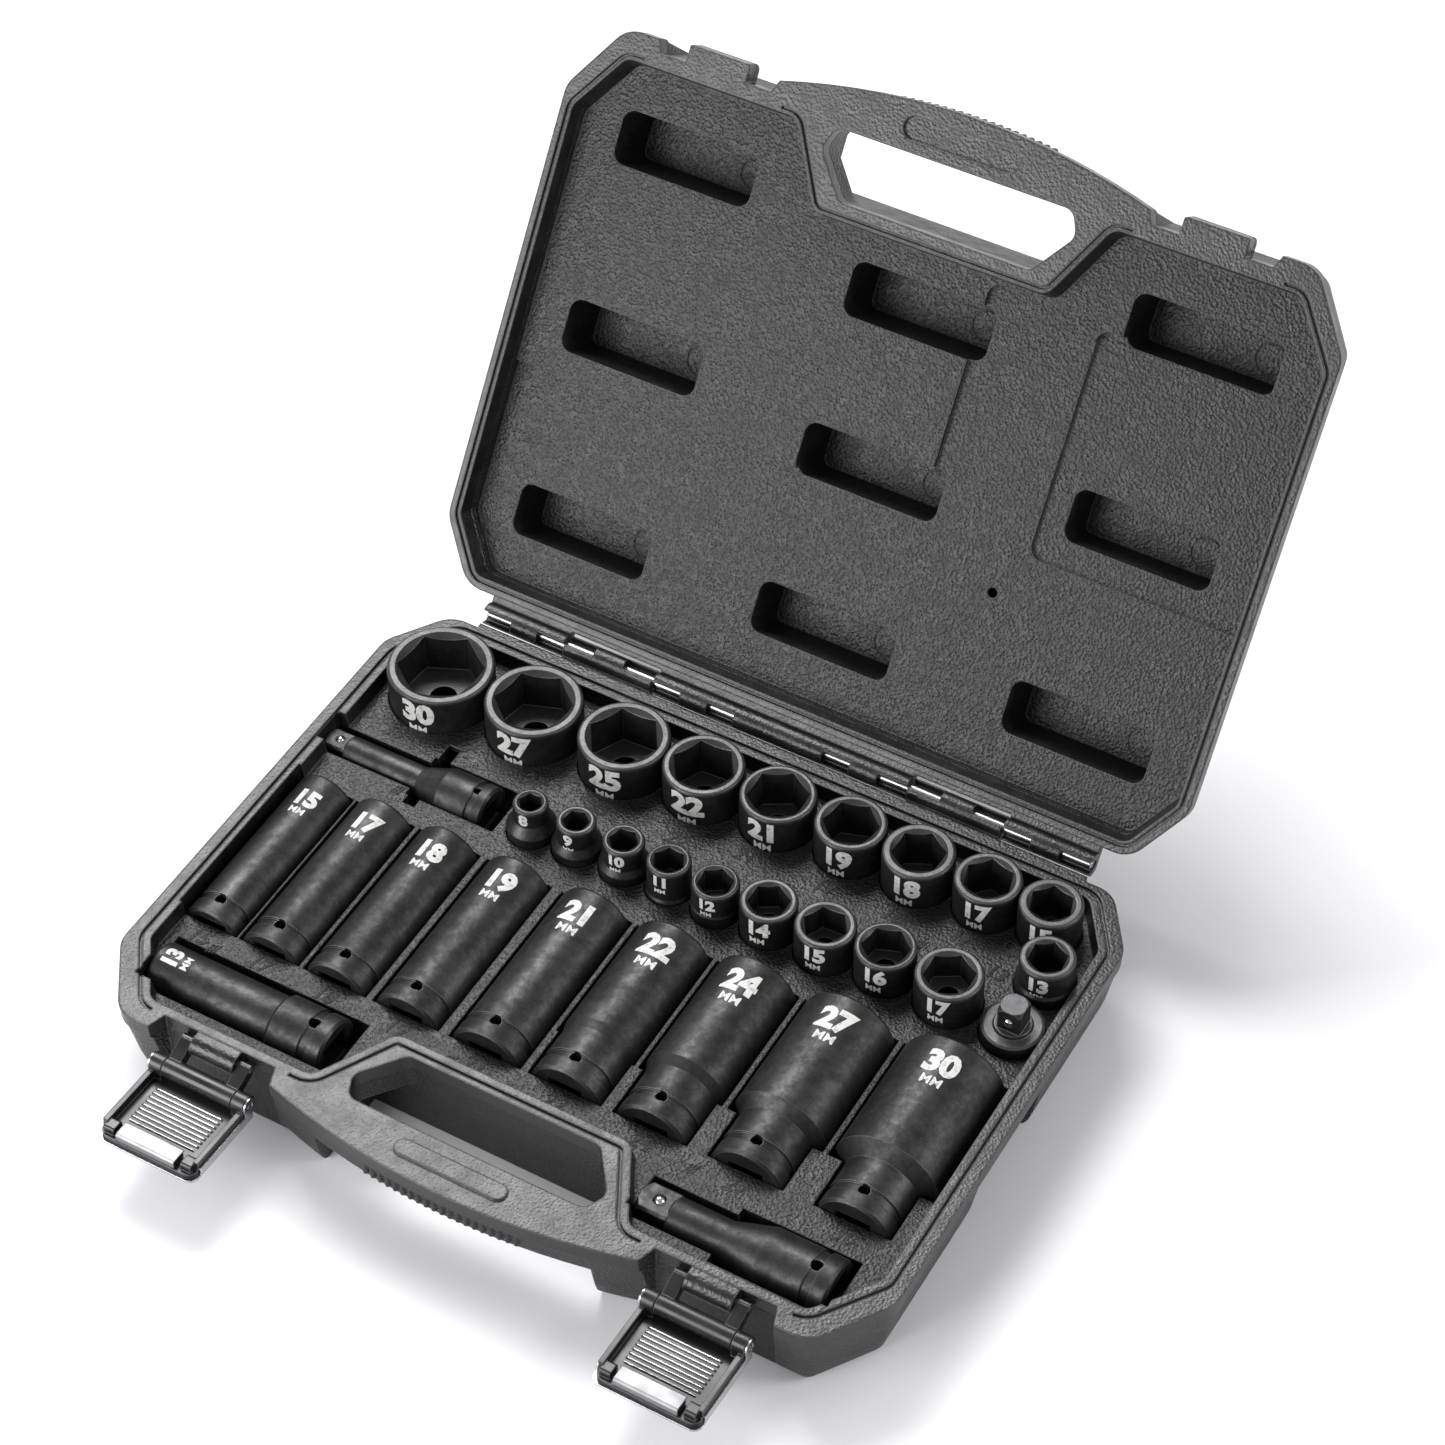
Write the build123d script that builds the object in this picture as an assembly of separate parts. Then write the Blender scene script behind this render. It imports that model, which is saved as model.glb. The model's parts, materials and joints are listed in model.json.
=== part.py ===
"""Impact socket set in a double-walled hinged case, in millimetres.

Origin: centre of the base's underside. +X runs along the hinge, +Y towards it, +Z up.
The lid is drawn closed and then turned back about the hinge pin to its rest angle.
"""
from build123d import *
import math
import os

# ---- case ----
RIM_Z = 37.0           # parting plane between base and lid
LID_T = 35.0           # lid thickness above the parting plane
PART_GAP = 0.3         # gap between the two rims when closed
HALF_W = 162.0
BACK_Y = 113.8
FRONT_Y = -115.5
HANDLE_Y = -126.0      # foremost point of the bowed grip
GRIP_HALF_W = 77.0     # where the grip's bow starts
BACK_CUT = (16.0, 24.0)
FRONT_CUT = (19.0, 28.0)
CORNER_R = 12.0
SKIN = 2.4             # moulded wall
FOOT_Z = 1.5           # how far the four feet stand proud of the outer face
FLANGE_H = 8.0         # plain band below the rim
GRIP_H = 16.0          # height of each half of the grip
WAIST_IN = 3.6         # how far the wall steps in between the feet
LID_OPEN = 124.3       # degrees between closed and the stop
HINGE_Y = 121.6
HINGE_Z = RIM_Z + 1.1

# ---- tray and lid panel ----
TRAY_Z = RIM_Z - 7.0
TRAY_HALF_W = 153.3
TRAY_BACK_Y = 107.0
TRAY_FRONT_Y = -104.5
BUMP_Y = -73.5         # tray edge behind the hand hole
BUMP_HALF = (49.0, 66.0)
LID_RIM_HALF_W = 157.0
LID_RIM_BACK_Y = 108.8
PANEL_DROP = (9.0, 11.0, 12.6)   # the panel's three levels below the lid's rim
LID_POCKET = (60.0, 21.5)
LID_POCKET_DEPTH = LID_T - 2.6
LID_POCKET_DRAFT = 4.0
LID_COLUMNS = (-109.0, 0.0, 109.0)
LID_ROWS = ((-74.5, 2.0, 79.0), (-50.0, 14.3, 79.5), (-74.5, 2.0, 79.0))
PANEL_DRAFT = 1.8
BASE_SEAL = (3.1, 4.3)           # groove in the rim, from the tray's edge
LID_SEAL = (1.2, 2.4)            # groove in the lid's rim, from the panel's edge
SEAL_DEPTH = 1.2
CUP_SKIN = 2.2                   # wall round each pocket
BLOCK_W = 5.0                    # solid plastic round a lying tool
GRIP_PAD_Y = -115.2
PAD_RISE = 1.0

# ---- hinge ----
PIN_R = 2.0
KNUCKLE_R = 4.6
PIN_HALF_L = 133.4
LEAF_HALF_L = 134.0
LEAF_GAP = 0.9         # between a half's leaf and the other half's knuckles
RUN_FIT = 0.05         # radial clearance of a turning fit
WINDOW_HALF_W = 2.8    # slots that show the pin: half width, then height above the axis
WINDOW_FROM = 0.4
# side: (knuckles, slots along them, turn of the slots from straight up), mirrored about x = 0
HINGE_SPANS = {
    -1: (((56.6, 96.4),), ((50.0, 70.0), (83.5, 100.0)), 0.0),
    1: (((0.0, 56.0), (97.0, 134.0)),
        ((19.5, 31.5), (43.5, 60.0), (90.0, 109.0), (121.0, 140.0)), 195.0),
}

# ---- latches ----
LATCH_X = 103.0
RECESS_HALF_W = 27.0
RECESS_Y = -108.0      # back of the base's latch recess
LID_RECESS_Y = -110.5
LID_LUG_Y = -117.5
BASE_LUG_HALF_W = 9.5
LID_LUG_HALF_W = 13.0
BASE_LUG_R = 4.6
LID_LUG_H = 10.8
LINK_PIVOT = (-110.5, RIM_Z - 5.0)
LINK_ANGLE = 22.2      # below level, at rest
FLAP_ANGLE = -4.0      # below level, at rest: the tip points slightly up
LINK_L = 11.9          # between the link's two pins
LINK_IN, LINK_OUT = 10.0, 15.0
LINK_EYE_R = 2.2
BARREL_R = 3.9
EAR_IN = 15.4          # inner face of the flap's ears
FLAP_HALF_W = 20.5
FLAP_L = 35.0
FLAP_T = 2.0
FLAP_DROP = 4.4        # from the flap's axis to its inner face
LIP_H = 3.0
LATCH_PIN_R = 1.5
COVER_T = 0.8
RIBS = 8

# ---- tools ----
TOOL_GAP = 0.5         # play of a tool in its pocket
END_ROOM = {"deep_13": 6.0, "half": 2.5, "three": 6.5}   # room past a lying tool's drive end
FLOOR_GAP = 0.35       # between a standing tool and its pocket's floor
TALL_HALF = 38.0       # 1/2 inch drive, shallow
TALL_THREE = 31.0      # 3/8 inch drive, shallow
DEEP_L = 78.0
TOP_HALF = RIM_Z + 9.5
TOP_THREE = RIM_Z + 9.0
BACK_ROW_Y = 103.0     # back of every socket in the rear row
DEEP_FRONT_Y = -60.5
NOSE_L = 21.5          # straight part of a deep socket's narrower drive end
DEEP_AXIS_Z = RIM_Z - 12.0
HALF_SQ = 12.7
THREE_SQ = 9.5
BALL_R = {HALF_SQ: 2.4, THREE_SQ: 1.9}
BALL_AT = {HALF_SQ: 7.4, THREE_SQ: 5.6}        # ball's centre from the square's end
BALL_TRAVEL = 1.0                              # how far a ball stands out
SEAT_PAST = 1.5                                # blind hole's floor beyond the square's axis
HEX_PLAY = 0.25
DRIVE_CUTS = {HALF_SQ: (8.0, 2.25, 3.6), THREE_SQ: (6.0, 1.6, 2.8)}   # height, pin hole, groove
THREE_STEP = {8: 12.0, 9: 12.0, 10: 12.0, 11: 15.0, 12: 11.0}
ADAPTOR_SQ_L = 11.5
SPRING_WIRE = 0.32
SPRING_TURNS = 4

# size: (mouth diameter, drive end diameter, x, turn of the hexagon)
HALF_ROW = {
    30: (42.4, 32.0, -130.0, 25), 27: (38.8, 32.0, -88.5, 20), 25: (36.2, 32.0, -48.7, 3),
    22: (32.0, 32.0, -14.6, 4), 21: (29.8, 29.8, 17.3, 30), 19: (28.0, 28.0, 48.1, 18),
    18: (28.0, 28.0, 76.9, 28), 17: (26.0, 26.0, 105.4, 46), 15: (24.4, 24.4, 131.0, 48),
}
# size: (mouth diameter, drive end diameter, x, y, turn of the hexagon)
THREE_ROW = {
    8: (13.8, 19.5, -62.2, 38.7, 4), 9: (15.4, 19.5, -42.4, 39.3, 22),
    10: (16.2, 19.5, -21.9, 39.8, 12), 11: (17.1, 18.5, -2.2, 39.6, 56),
    12: (18.2, 19.0, 18.2, 39.0, 36), 14: (22.0, 22.0, 39.8, 40.9, 30),
    15: (23.4, 23.4, 63.5, 41.1, 4), 16: (23.4, 23.4, 87.6, 43.0, 20),
    17: (25.9, 25.9, 113.7, 43.0, 31),
}
THIRTEEN = (21.2, 23.0, 141.3, 67.2, 35)
# size: (mouth diameter, drive end diameter, x)
DEEP_ROW = {
    15: (24.0, 24.0, -141.8), 17: (26.0, 26.0, -115.0), 18: (27.0, 27.0, -85.9),
    19: (28.0, 28.0, -54.8), 21: (30.0, 30.0, -20.8), 22: (32.0, 30.0, 13.0),
    24: (34.0, 30.0, 48.5), 27: (38.0, 30.0, 87.4), 30: (42.0, 30.0, 130.3),
}
DEEP_13 = (22.0, 25.0, -148.0, -84.0)          # mouth, drive end, x of mouth, y
# x, y, length, pocket diameter, barrel diameter, barrel length, shaft diameter
HALF_BAR = (60.8, -87.0, 78.0, 18.2, 24.8, 44.0, 15.6)
THREE_BAR = (-156.8, 41.0, 75.0, 14.2, 20.8, 32.0, 12.6)
BAR_AXIS_Z = RIM_Z - 11.0
ADAPTOR = (140.8, 41.4, 24.4, 25.0)            # x, y, diameter, body height

os.makedirs("parts", exist_ok=True)


def save(node, shape):
    """Write one node; the name is the file's name."""
    shape.label = node
    export_step(shape, f"parts/{node}.step")


def rounded(points, radius):
    """A face through these points with every corner rounded."""
    face = make_face(Polyline(*points, close=True))
    return fillet(face.vertices(), radius)


def shrink(face, amount):
    """The same outline moved inwards (or outwards, when negative)."""
    return offset(face, amount=-amount, kind=Kind.INTERSECTION) if amount else face


def stack(face, levels):
    """Solid through insets of one outline at rising heights: levels of (z, inset)."""
    parts = []
    for (z0, in0), (z1, in1) in zip(levels, levels[1:]):
        low = Pos(0, 0, z0) * shrink(face, in0)
        high = Pos(0, 0, z1) * shrink(face, in1)
        parts.append(loft([low, high], ruled=True))
    return parts[0].fuse(*parts[1:]) if len(parts) > 1 else parts[0]


def slab(x, y, z):
    """A box from its low and high limits along each axis."""
    size = [hi - lo for lo, hi in (x, y, z)]
    middle = [(hi + lo) / 2 for lo, hi in (x, y, z)]
    return Pos(*middle) * Box(*size)


def rod(radius, x0, x1, y, z):
    """A cylinder along X."""
    return Pos((x0 + x1) / 2, y, z) * Rotation(0, 90, 0) * Cylinder(radius, x1 - x0)


# ---------------------------------------------------------------- case outlines
def case_outline():
    """Plan of the rim's outer edge: cut corners and a front edge bowed at the grip."""
    bx, by = BACK_CUT
    fx, fy = FRONT_CUT
    edge = Polyline(
        (GRIP_HALF_W, FRONT_Y), (HALF_W - fx, FRONT_Y), (HALF_W, FRONT_Y + fy),
        (HALF_W, BACK_Y - by), (HALF_W - bx, BACK_Y), (bx - HALF_W, BACK_Y),
        (-HALF_W, BACK_Y - by), (-HALF_W, FRONT_Y + fy), (fx - HALF_W, FRONT_Y),
        (-GRIP_HALF_W, FRONT_Y),
    )
    bow = ThreePointArc((-GRIP_HALF_W, FRONT_Y), (0, HANDLE_Y), (GRIP_HALF_W, FRONT_Y))
    face = make_face([*edge.edges(), bow.edge()])
    corners = [v for v in face.vertices() if abs(v.X) > GRIP_HALF_W + 1]
    return fillet(corners, CORNER_R)


def inner_outline(half_w, back_y, grow=0.0):
    """Plan of the tray or the lid panel: follows the case and steps in behind the hand hole."""
    w = half_w + grow
    back = back_y + grow
    front = TRAY_FRONT_Y - grow
    bump = BUMP_Y - grow
    near, far = (b - 0.8 * grow for b in BUMP_HALF)
    bx, by = BACK_CUT[0] - 2, BACK_CUT[1] - 3
    fx, fy = FRONT_CUT[0] - 2, FRONT_CUT[1] - 4
    points = [
        (far, front), (w - fx, front), (w, front + fy), (w, back - by), (w - bx, back),
        (bx - w, back), (-w, back - by), (-w, front + fy), (fx - w, front),
        (-far, front), (-near, bump), (near, bump),
    ]
    return rounded(points, 6.0)


def hand_hole():
    """Plan of the hole behind the grip."""
    return rounded([(-40, -80), (40, -80), (53, -97), (49, -106), (-49, -106), (-53, -97)], 5.0)


CASE = case_outline()
HOLE = hand_hole()


def outer_half(depth):
    """Outside of one half, rim at the top: plain flange band, four feet and a waist between."""
    levels = [(0.0, 9.5), (1.5, 7.6), (4.5, 6.0), (10.0, 4.6), (depth - FLANGE_H, 1.2)]
    waist_levels = [(FOOT_Z, 10.6), (FOOT_Z + 3, 8.6), (depth - FLANGE_H, 1.2 + WAIST_IN)]
    feet = stack(CASE, levels)
    for x0, x1, y0, y1 in ((HALF_W - 30, 200, -22, 27), (-200, 30 - HALF_W, -22, 27),
                           (-92, 92, 60, 200)):
        feet -= slab((x0, x1), (y0, y1), (-1, depth - FLANGE_H + 1))
    feet -= slab((-132, 132), (-72, 80), (-1, FOOT_Z)) - slab((-66, 66), (-34, 34), (-1, 5))
    band = stack(CASE, [(depth - FLANGE_H, 1.2), (depth - FLANGE_H + 1.2, 0.3), (depth, 0.0)])
    body = band + feet + stack(CASE, waist_levels)
    under_grip = slab((-58, 58), (-200, -80), (-1, depth - GRIP_H))
    return body - under_grip - extrude(HOLE, depth + 1)


def grip_ribs(depth):
    """Finger ribs along the grip's outer face, below the rim band."""
    count = 20
    pitch = 3.3
    sagitta = FRONT_Y - HANDLE_Y
    bow_r = (GRIP_HALF_W ** 2 + sagitta ** 2) / (2 * sagitta)
    ribs = []
    for i in range(count):
        x = (i - (count - 1) / 2) * pitch
        y = HANDLE_Y + bow_r - math.sqrt(bow_r ** 2 - x ** 2)
        ribs.append(Pos(x, y + 1.6, depth - 8.5) * Cylinder(1.15, 9.0))
    return ribs


def cavity(floor, top, half_w, back_y):
    """Space between the two skins of one half, before the pockets' cups are kept in it."""
    low = Pos(0, 0, floor) * inner_outline(half_w, back_y, -9.0)
    high = Pos(0, 0, top) * inner_outline(half_w, back_y, -1.5)
    return loft([low, high], ruled=True)


# ---------------------------------------------------------------- tools' pockets
def upright(diameter, x, y, floor, top, grow=0.0):
    """A round pocket, or its cup when grown."""
    low = floor - FLOOR_GAP - grow
    return Pos(x, y, (low + top) / 2) * Cylinder(diameter / 2 + grow, top - low)


def cradle(diameter, length, top, grow=0.0):
    """Trough with a round bottom, along +Y from the origin on its axis, open upwards."""
    r = diameter / 2 + grow
    profile = Plane.XZ * (Circle(r) + Pos(0, top / 2) * Rectangle(2 * r, top))
    return Pos(0, -grow, 0) * extrude(profile, -(length + 2 * grow))


def deep_pocket(size, grow=0.0):
    """Pocket of one deep socket in the row: narrower at the drive end."""
    mouth, drive, x = DEEP_ROW[size]
    rise = RIM_Z + 1 - DEEP_AXIS_Z
    gap = 2 * TOOL_GAP
    nose = NOSE_L if mouth > drive else 0.0
    main = Pos(0, nose - TOOL_GAP, 0) * cradle(mouth + gap, DEEP_L - nose + gap, rise, grow)
    if nose:
        main += Pos(0, -TOOL_GAP, 0) * cradle(drive + gap, DEEP_L / 2, rise, grow)
    return Pos(x, DEEP_FRONT_Y, DEEP_AXIS_Z) * main


def lying_pocket(x, y, z, runs):
    """Pocket of a tool lying along +X: a run of (start, end, diameter) troughs."""
    rise = RIM_Z + 1 - z
    trough = None
    for start, end, diameter in runs:
        piece = cradle(diameter + 2 * TOOL_GAP, end - start + 2 * TOOL_GAP, rise)
        piece = Pos(0, start - TOOL_GAP, 0) * piece
        trough = piece if trough is None else trough + piece
    return Pos(x, y, z) * Rotation(0, 0, -90) * trough


def lying_block(x, y, z, runs):
    """Solid plastic kept round a lying tool's pocket."""
    length = runs[-1][1]
    half = max(run[2] for run in runs) / 2 + TOOL_GAP
    side = half + BLOCK_W
    return slab((x - BLOCK_W, x + length + BLOCK_W), (y - side, y + side),
                (z - half - CUP_SKIN, RIM_Z))


def pockets(grow=0.0):
    """Every tool pocket in the base tray, or every cup when grown by the skin."""
    top = RIM_Z + 1
    gap = 2 * TOOL_GAP
    found = []
    for mouth, drive, x, _ in HALF_ROW.values():
        y = BACK_ROW_Y - mouth / 2
        found.append(upright(mouth + gap, x, y, TOP_HALF - TALL_HALF, top, grow))
    for mouth, drive, x, y, _ in THREE_ROW.values():
        found.append(upright(max(mouth, drive) + gap, x, y, TOP_THREE - TALL_THREE, top, grow))
    mouth, drive, x, y, _ = THIRTEEN
    found.append(upright(drive + gap, x, y, TOP_HALF - TALL_HALF, top, grow))
    x, y, diameter, height = ADAPTOR
    found.append(upright(diameter + gap, x, y, adaptor_floor(), top, grow))
    found += [deep_pocket(size, grow) for size in DEEP_ROW]
    lying = lying_block if grow else lying_pocket
    mouth, drive, x, y = DEEP_13
    found.append(lying(x, y, DEEP_AXIS_Z, [(0, DEEP_L + END_ROOM["deep_13"], drive)]))
    for name, bar in (("half", HALF_BAR), ("three", THREE_BAR)):
        x, y, length, narrow, barrel, barrel_l, _ = bar
        end = length + END_ROOM[name]
        found.append(lying(x, y, BAR_AXIS_Z, [(0, length, narrow), (length - barrel_l, end, barrel)]))
    return found


def adaptor_floor():
    """Height of the adaptor's underside: its square ends level with the shallow sockets."""
    return TOP_HALF - ADAPTOR[3] - ADAPTOR_SQ_L


# ---------------------------------------------------------------- hinge
def both_sides(spans):
    """Both mirrored sides of a list of spans; one that starts at the centre runs across it."""
    out = []
    for a, b in spans:
        out += [(-b, b)] if a == 0.0 else [(a, b), (-b, -a)]
    return out


def knuckles(side, bore):
    """Hinge tubes, their webs and leaf: side is -1 for the base, +1 for the lid."""
    spans, slots, turn = HINGE_SPANS[side]
    root_y = BACK_Y - 2.0
    web_z = (RIM_Z - 4.0, RIM_Z) if side < 0 else (HINGE_Z + 1.1, HINGE_Z + 4.4)
    tubes = []
    for a, b in both_sides(spans):
        tube = rod(KNUCKLE_R, a, b, HINGE_Y, HINGE_Z) + slab((a, b), (root_y, HINGE_Y), web_z)
        tube -= rod(bore, a - 1, b + 1, HINGE_Y, HINGE_Z)
        for x0, x1 in both_sides(slots):
            slot = slab((x0, x1), (-WINDOW_HALF_W, WINDOW_HALF_W), (WINDOW_FROM, KNUCKLE_R + 1))
            tube -= Pos(0, HINGE_Y, HINGE_Z) * Rotation(turn, 0, 0) * slot
        tubes.append(tube)
    leaf_y = (root_y, HINGE_Y - KNUCKLE_R - LEAF_GAP)
    return slab((-LEAF_HALF_L, LEAF_HALF_L), leaf_y, web_z) + tubes


# ---------------------------------------------------------------- latch seats
def at_latch(side, angle, pivot):
    """Frame of a latch piece: its own -Y points outwards, turned down by an angle."""
    return Pos(side * LATCH_X, *pivot) * Rotation(angle, 0, 0)


def latch_notch(side, depth, back_y):
    """The recess in one half's front wall, wider at its mouth."""
    x = side * LATCH_X
    mouth_y = FRONT_Y - 4
    flare = RECESS_HALF_W + 1
    outline = [(x - RECESS_HALF_W + 3, back_y), (x + RECESS_HALF_W - 3, back_y),
               (x + flare, mouth_y), (x - flare, mouth_y)]
    return Pos(0, 0, -1) * extrude(make_face(Polyline(*outline, close=True)), depth + 2)


def base_lug(side):
    """Round bar in the middle of the base's latch recess, on a web from its wall."""
    x = side * LATCH_X
    y, z = LINK_PIVOT
    span = (x - BASE_LUG_HALF_W, x + BASE_LUG_HALF_W)
    web = slab(span, (y, RECESS_Y + 1.5), (z - BASE_LUG_R, z + BASE_LUG_R))
    return rod(BASE_LUG_R, *span, y, z) + web


def lid_lug(side):
    """The tab in the middle of the lid's latch recess, its outer edges rounded."""
    x = side * LATCH_X
    low_z = LID_T - LID_LUG_H
    block = slab((x - LID_LUG_HALF_W, x + LID_LUG_HALF_W), (LID_LUG_Y, LID_RECESS_Y + 1.5),
                 (low_z, LID_T))
    front = block.edges().filter_by(lambda e: abs(e.center().Y - LID_LUG_Y) < 0.1)
    block = fillet(front.filter_by(lambda e: abs(e.center().Z - low_z) < 0.1), 3.0)
    upright_edges = block.edges().filter_by(Axis.Z)
    return fillet(upright_edges.filter_by(lambda e: e.center().Y < LID_LUG_Y + 0.1), 1.2)


# ---------------------------------------------------------------- the two halves
def seal_line(outline, inner, outer, back_y):
    """Fine groove round the rim, interrupted at the latches."""
    ring = shrink(outline, -outer) - shrink(outline, -inner)
    for side in (-1, 1):
        ring -= Pos(side * LATCH_X, back_y - 20) * Rectangle(2 * RECESS_HALF_W + 6, 50)
    return extrude(ring, 5)


def base_shell():
    """Base: outer skin, tray with a cup for each tool, latch lugs and hinge knuckles."""
    tray = inner_outline(TRAY_HALF_W, TRAY_BACK_Y)
    body = outer_half(RIM_Z) + grip_ribs(RIM_Z)
    body -= cavity(FOOT_Z + SKIN, TRAY_Z - SKIN, TRAY_HALF_W, TRAY_BACK_Y) - pockets(CUP_SKIN)
    body -= loft([Pos(0, 0, TRAY_Z) * inner_outline(TRAY_HALF_W, TRAY_BACK_Y, -1.0),
                  Pos(0, 0, RIM_Z) * tray], ruled=True)
    body -= pockets()
    body -= slab((-113.0, -107.5), (26.0, 60.0), (20.0, RIM_Z))
    groove = seal_line(tray, BASE_SEAL[0], BASE_SEAL[1], RECESS_Y)
    body -= Pos(0, 0, RIM_Z - SEAL_DEPTH) * groove
    for side in (-1, 1):
        body -= latch_notch(side, RIM_Z, RECESS_Y)
        body += base_lug(side)
        x = side * LATCH_X
        body -= rod(LATCH_PIN_R, x - 12, x + 12, *LINK_PIVOT)
    pad = Pos(0, GRIP_PAD_Y) * SlotOverall(46, 7)
    body += Pos(0, 0, RIM_Z - 1) * extrude(pad, 1.0 + PAD_RISE)
    body += knuckles(-1, PIN_R)
    return body - Pos(60.0, 66.0, 0) * Cylinder(2.0, 12)


def level_cut(outline_points, drop):
    """Lowers one part of the lid's panel to its own level."""
    area = rounded(outline_points, 5.0)
    panel = inner_outline(LID_RIM_HALF_W, LID_RIM_BACK_Y, -PANEL_DRAFT)
    area = (area & panel).faces()
    tool = None
    for face in area:
        piece = Pos(0, 0, LID_T - drop) * extrude(face, drop)
        tool = piece if tool is None else tool + piece
    return tool


def lid_pocket(x, y, grow=0.0):
    """One of the panel's stiffening pockets, drafted; its cup when grown."""
    w, l = LID_POCKET
    top_z = LID_T - PANEL_DROP[0]
    low_z = LID_T - LID_POCKET_DEPTH - grow
    d = LID_POCKET_DRAFT
    top = Pos(x, y, top_z) * RectangleRounded(w + 2 * grow, l + 2 * grow, 5 + grow)
    low = Pos(x, y, low_z) * RectangleRounded(w + 2 * grow - d, l + 2 * grow - d, 3.5 + grow)
    return loft([low, top], ruled=True)


def lid_flat():
    """Lid with its rim up and its outside down, before it is turned over."""
    outline = inner_outline(LID_RIM_HALF_W, LID_RIM_BACK_Y)
    cells = [(x, y) for x, rows in zip(LID_COLUMNS, LID_ROWS) for y in rows]
    body = outer_half(LID_T) + grip_ribs(LID_T)
    cups = [lid_pocket(x, y, CUP_SKIN) for x, y in cells]
    top = LID_T - PANEL_DROP[2] - SKIN
    body -= cavity(FOOT_Z + SKIN, top, LID_RIM_HALF_W - 2, LID_RIM_BACK_Y) - cups
    panel = inner_outline(LID_RIM_HALF_W, LID_RIM_BACK_Y, -PANEL_DRAFT)
    body -= loft([Pos(0, 0, LID_T - PANEL_DROP[0]) * panel, Pos(0, 0, LID_T) * outline],
                 ruled=True)
    body -= level_cut([(-160, 23), (24, 23), (24, -70), (69.5, -70), (69.5, 23), (160, 23),
                       (160, 120), (-160, 120)], PANEL_DROP[1])
    body -= level_cut([(69.5, -67), (160, -67), (160, 23), (69.5, 23)], PANEL_DROP[2])
    for x, y in cells:
        body -= lid_pocket(x, y)
        low_z = LID_T - LID_POCKET_DEPTH
        ring = Circle(6.2) - Circle(5.6)
        body -= Pos(x + 20, y, low_z - 0.4) * extrude(ring, 1)
    groove = seal_line(outline, LID_SEAL[0], LID_SEAL[1], LID_RECESS_Y)
    body -= Pos(0, 0, LID_T - SEAL_DEPTH) * groove
    for side in (-1, 1):
        body -= latch_notch(side, LID_T, LID_RECESS_Y)
        body += lid_lug(side)
    pad = Pos(0, GRIP_PAD_Y) * SlotOverall(48, 9)
    body -= Pos(0, 0, LID_T - 1.5) * extrude(pad, 5)
    return body - Pos(60.5, 41, LID_T - 12) * Cylinder(2.0, 12)


def turn_lid(shape):
    """Swing a piece of the closed lid back about the hinge to its rest angle."""
    return Pos(0, HINGE_Y, HINGE_Z) * Rotation(-LID_OPEN, 0, 0) * Pos(0, -HINGE_Y, -HINGE_Z) * shape


def lid_shell():
    """Lid: the flat moulding turned over, with its knuckles, then swung open."""
    closed = Pos(0, 0, RIM_Z + PART_GAP + LID_T) * mirror(lid_flat(), about=Plane.XY)
    closed += knuckles(1, PIN_R + RUN_FIT)
    return turn_lid(closed)


def hinge_pin():
    """Steel rod through both halves' knuckles, its ends chamfered."""
    pin = rod(PIN_R, -PIN_HALF_L, PIN_HALF_L, HINGE_Y, HINGE_Z)
    return chamfer(pin.edges().filter_by(GeomType.CIRCLE), 0.5)


# ---------------------------------------------------------------- latches
def latch_link(side):
    """Bail: a tube on the flap's hinge line and two arms to the base's lug."""
    tube = rod(BARREL_R, -LINK_OUT, LINK_OUT, -LINK_L, 0)
    body = tube
    for s in (-1, 1):
        x0, x1 = sorted((s * LINK_IN, s * LINK_OUT))
        body += slab((x0, x1), (-LINK_L, 0), (-2.3, 2.3))
        body += rod(LINK_EYE_R, x0, x1, 0, 0)
    body -= rod(LATCH_PIN_R + RUN_FIT, -LINK_OUT - 1, LINK_OUT + 1, 0, 0)
    body -= rod(LATCH_PIN_R + RUN_FIT, -LINK_OUT - 1, LINK_OUT + 1, -LINK_L, 0)
    return at_latch(side, LINK_ANGLE, LINK_PIVOT) * body


def flap_pivot():
    """Rest position (y, z) of the flap's hinge line."""
    a = math.radians(LINK_ANGLE)
    y, z = LINK_PIVOT
    return y - LINK_L * math.cos(a), z - LINK_L * math.sin(a)


def latch_flap(side):
    """Channel-shaped flap with ribs inside and a hooked lip at its tip."""
    floor_z = -FLAP_DROP
    w, t = FLAP_HALF_W, FLAP_T
    tip = -FLAP_L
    body = slab((-w, w), (tip, 1.2), (floor_z - t, floor_z))
    corners = body.edges().filter_by(Axis.Z)
    body = fillet(corners.filter_by(lambda e: e.center().Y < tip + 1), 4.0)
    for s in (-1, 1):
        x0, x1 = sorted((s * (w - 2), s * w))
        body += slab((x0, x1), (tip + 4, 1.2), (floor_z - 0.5, -0.6))
        ear = sorted((s * EAR_IN, s * w))
        body += rod(BARREL_R, ear[0], ear[1], 0, 0)
        body += slab(ear, (-3.4, 1.2), (floor_z - 0.5, 0))
    for x0, x1, back in ((-12, 12, 0.4), (-18.8, -14.5, 1.6), (14.5, 18.8, 1.6)):
        lip = slab((x0, x1), (tip + back, tip + 7), (floor_z - 0.5, floor_z + LIP_H))
        body += fillet(lip.edges().filter_by(Axis.X).group_by(Axis.Z)[-1], 1.2)
    for i in range(RIBS):
        body += slab((-14.5, 14.5), (-8.0 - 2.1 * i, -7.3 - 2.1 * i), (floor_z - 0.3, floor_z + 0.5))
    body -= rod(LATCH_PIN_R, -w - 1, w + 1, 0, 0)
    return at_latch(side, FLAP_ANGLE, flap_pivot()) * body


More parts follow.
